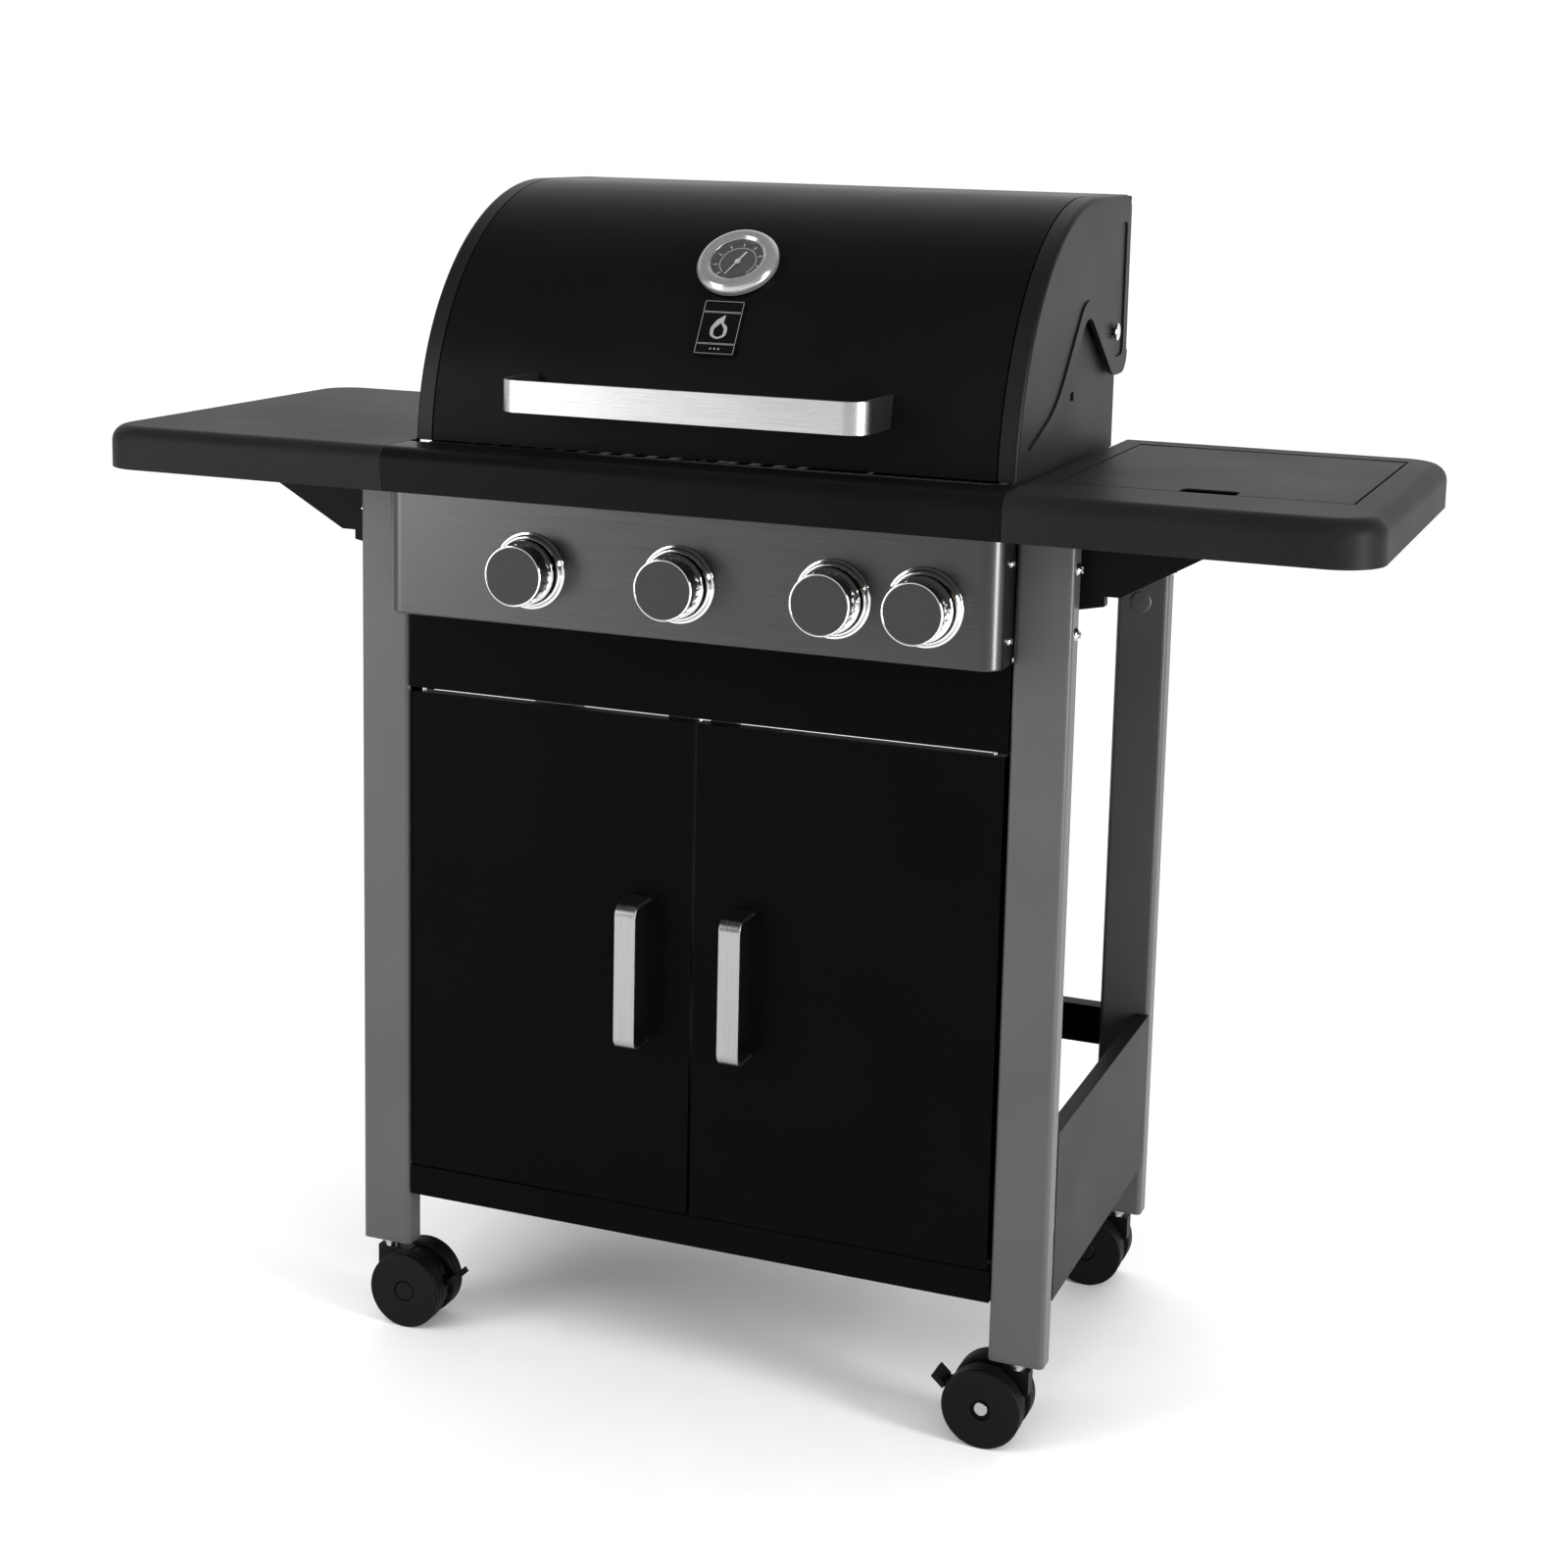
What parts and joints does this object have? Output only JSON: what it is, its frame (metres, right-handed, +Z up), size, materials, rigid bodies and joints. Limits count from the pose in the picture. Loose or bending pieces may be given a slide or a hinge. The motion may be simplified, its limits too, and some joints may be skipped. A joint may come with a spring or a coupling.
{
  "type": "gas barbecue grill",
  "caption": "Cabinet gas barbecue on swivel casters with a hinged roll-top lid, control knobs, side shelves, a flush side burner and double doors.",
  "frame": {"origin": "on the floor, under the middle of the overall box, between the casters", "axes": "+X to the cook's right along the long side, +Y from the knobs to the back, +Z up"},
  "size_m": [1.228, 0.484, 1.122],
  "materials": {
    "leg_grey": "satin",
    "panel_grey": "satin",
    "black_coat": "satin",
    "door_black": "satin",
    "firebox_black": "matte",
    "panel_steel": "brushed",
    "pull_aluminium": "brushed",
    "chrome": "polished",
    "knob_dark": "satin",
    "cast_cap": "painted satin",
    "burner_steel": "brushed",
    "grate_iron": "matte enamel",
    "zinc": "plain",
    "brass": "turned",
    "caster_black": "satin",
    "wheel_black": "matte",
    "dial_black": "printed",
    "needle_white": "matte",
    "gauge_glass": "clear",
    "badge_black": "printed",
    "galvanised": "galvanised",
    "magnet_grey": "matte"
  },
  "bodies": {
    "cart": {"front_legs": "leg_grey", "rear_legs": "leg_grey", "caster_sockets": "caster_black", "bottom_shelf": "black_coat", "side_panels": "panel_grey", "rear_rails": "black_coat", "door_header": "door_black", "control_panel": "panel_steel", "front_rail": "black_coat", "left_shelf": "black_coat", "right_shelf": "black_coat", "shelf_brackets": "black_coat", "frame_screws": "zinc", "firebox": "firebox_black", "lid_pivots": "zinc", "burner_tubes": "burner_steel", "flame_tamers": "burner_steel", "cooking_grates": "grate_iron", "warming_rack": "chrome", "gas_manifold": "galvanised", "gas_valves": "brass", "knob_bezels": "chrome", "hinge_pins": "zinc", "door_magnets": "magnet_grey", "side_burner_bowl": "black_coat", "side_burner_head": "grate_iron", "side_burner_grate": "grate_iron"},
    "grease_tray": {"grease_tray": "galvanised"},
    "lid": {"lid_shell": "black_coat", "lid_cap_left": "cast_cap", "lid_cap_right": "cast_cap", "lid_handle": "pull_aluminium", "thermometer_body": "chrome", "thermometer_dial": "dial_black", "thermometer_glass": "gauge_glass", "badge": "badge_black"},
    "needle": {"thermometer_needle": "needle_white"},
    "door_left": {"door_left": "door_black", "door_handle_left": "pull_aluminium"},
    "door_right": {"door_right": "door_black", "door_handle_right": "pull_aluminium"},
    "side_burner_lid": {"side_burner_lid": "black_coat"},
    "valve_stem_1": {"valve_stem_1": "brass"},
    "knob_1": {"knob_1": "knob_dark"},
    "valve_stem_2": {"valve_stem_2": "brass"},
    "knob_2": {"knob_2": "knob_dark"},
    "valve_stem_3": {"valve_stem_3": "brass"},
    "knob_3": {"knob_3": "knob_dark"},
    "valve_stem_4": {"valve_stem_4": "brass"},
    "knob_4": {"knob_4": "knob_dark"},
    "caster_front_left": {"caster_housing_front_left": "caster_black"},
    "wheels_front_left": {"caster_wheels_front_left": "wheel_black"},
    "brake_pedal_left": {"brake_pedal_left": "caster_black"},
    "caster_front_right": {"caster_housing_front_right": "caster_black"},
    "wheels_front_right": {"caster_wheels_front_right": "wheel_black"},
    "brake_pedal_right": {"brake_pedal_right": "caster_black"},
    "caster_rear_left": {"caster_housing_rear_left": "caster_black"},
    "wheels_rear_left": {"caster_wheels_rear_left": "wheel_black"},
    "caster_rear_right": {"caster_housing_rear_right": "caster_black"},
    "wheels_rear_right": {"caster_wheels_rear_right": "wheel_black"}
  },
  "joints": [
    {"name": "lid_hinge", "type": "hinge", "parent": "cart", "child": "lid", "pos_m": [0, 0.168, 0.991], "axis": [-1, 0, 0], "range_deg": [0, 85]},
    {"name": "needle_turn", "type": "hinge", "parent": "lid", "child": "needle", "pos_m": [0, -0.08198, 1.05744], "axis": [0, 0.6884, -0.7254], "range_deg": [0, 270]},
    {"name": "left_door_hinge", "type": "hinge", "parent": "cart", "child": "door_left", "pos_m": [-0.284, -0.156, 0.4], "axis": [0, 0, -1], "range_deg": [0, 110]},
    {"name": "right_door_hinge", "type": "hinge", "parent": "cart", "child": "door_right", "pos_m": [0.284, -0.156, 0.4], "axis": [0, 0, 1], "range_deg": [0, 110]},
    {"name": "side_lid_hinge", "type": "hinge", "parent": "cart", "child": "side_burner_lid", "pos_m": [0.4485, 0.182, 0.878], "axis": [-1, 0, 0], "range_deg": [0, 95]},
    {"name": "grease_tray_slide", "type": "slide", "parent": "cart", "child": "grease_tray", "axis": [0, 1, 0], "range_m": [0, 0.3]},
    {"name": "knob_1_turn", "type": "hinge", "parent": "cart", "child": "valve_stem_1", "pos_m": [-0.147, -0.172, 0.777], "axis": [0, -1, 0], "range_deg": [0, 180]},
    {"name": "knob_1_push", "type": "slide", "parent": "valve_stem_1", "child": "knob_1", "axis": [0, 1, 0], "range_m": [0, 0.004], "stiffness_N_per_m": 900, "springref_m": -0.002},
    {"name": "knob_2_turn", "type": "hinge", "parent": "cart", "child": "valve_stem_2", "pos_m": [0, -0.172, 0.777], "axis": [0, -1, 0], "range_deg": [0, 180]},
    {"name": "knob_2_push", "type": "slide", "parent": "valve_stem_2", "child": "knob_2", "axis": [0, 1, 0], "range_m": [0, 0.004], "stiffness_N_per_m": 900, "springref_m": -0.002},
    {"name": "knob_3_turn", "type": "hinge", "parent": "cart", "child": "valve_stem_3", "pos_m": [0.147, -0.172, 0.777], "axis": [0, -1, 0], "range_deg": [0, 180]},
    {"name": "knob_3_push", "type": "slide", "parent": "valve_stem_3", "child": "knob_3", "axis": [0, 1, 0], "range_m": [0, 0.004], "stiffness_N_per_m": 900, "springref_m": -0.002},
    {"name": "knob_4_turn", "type": "hinge", "parent": "cart", "child": "valve_stem_4", "pos_m": [0.231, -0.172, 0.777], "axis": [0, -1, 0], "range_deg": [0, 180]},
    {"name": "knob_4_push", "type": "slide", "parent": "valve_stem_4", "child": "knob_4", "axis": [0, 1, 0], "range_m": [0, 0.004], "stiffness_N_per_m": 900, "springref_m": -0.002},
    {"name": "caster_front_left_swivel", "type": "hinge", "parent": "cart", "child": "caster_front_left", "pos_m": [-0.324, -0.1495, 0.08], "axis": [0, 0, 1], "continuous": true},
    {"name": "caster_front_left_roll", "type": "hinge", "parent": "caster_front_left", "child": "wheels_front_left", "pos_m": [-0.297, -0.1495, 0.0375], "axis": [0, 1, 0], "continuous": true},
    {"name": "brake_left_press", "type": "hinge", "parent": "caster_front_left", "child": "brake_pedal_left", "pos_m": [-0.269, -0.1495, 0.0455], "axis": [0, 1, 0], "range_deg": [0, 20]},
    {"name": "caster_front_right_swivel", "type": "hinge", "parent": "cart", "child": "caster_front_right", "pos_m": [0.324, -0.1495, 0.08], "axis": [0, 0, 1], "continuous": true},
    {"name": "caster_front_right_roll", "type": "hinge", "parent": "caster_front_right", "child": "wheels_front_right", "pos_m": [0.297, -0.1495, 0.0375], "axis": [0, 1, 0], "continuous": true},
    {"name": "brake_right_press", "type": "hinge", "parent": "caster_front_right", "child": "brake_pedal_right", "pos_m": [0.269, -0.1495, 0.0455], "axis": [0, -1, 0], "range_deg": [0, 20]},
    {"name": "caster_rear_left_swivel", "type": "hinge", "parent": "cart", "child": "caster_rear_left", "pos_m": [-0.324, 0.2155, 0.08], "axis": [0, 0, 1], "continuous": true},
    {"name": "caster_rear_left_roll", "type": "hinge", "parent": "caster_rear_left", "child": "wheels_rear_left", "pos_m": [-0.297, 0.2155, 0.0375], "axis": [0, 1, 0], "continuous": true},
    {"name": "caster_rear_right_swivel", "type": "hinge", "parent": "cart", "child": "caster_rear_right", "pos_m": [0.324, 0.2155, 0.08], "axis": [0, 0, 1], "continuous": true},
    {"name": "caster_rear_right_roll", "type": "hinge", "parent": "caster_rear_right", "child": "wheels_rear_right", "pos_m": [0.297, 0.2155, 0.0375], "axis": [0, 1, 0], "continuous": true}
  ]
}
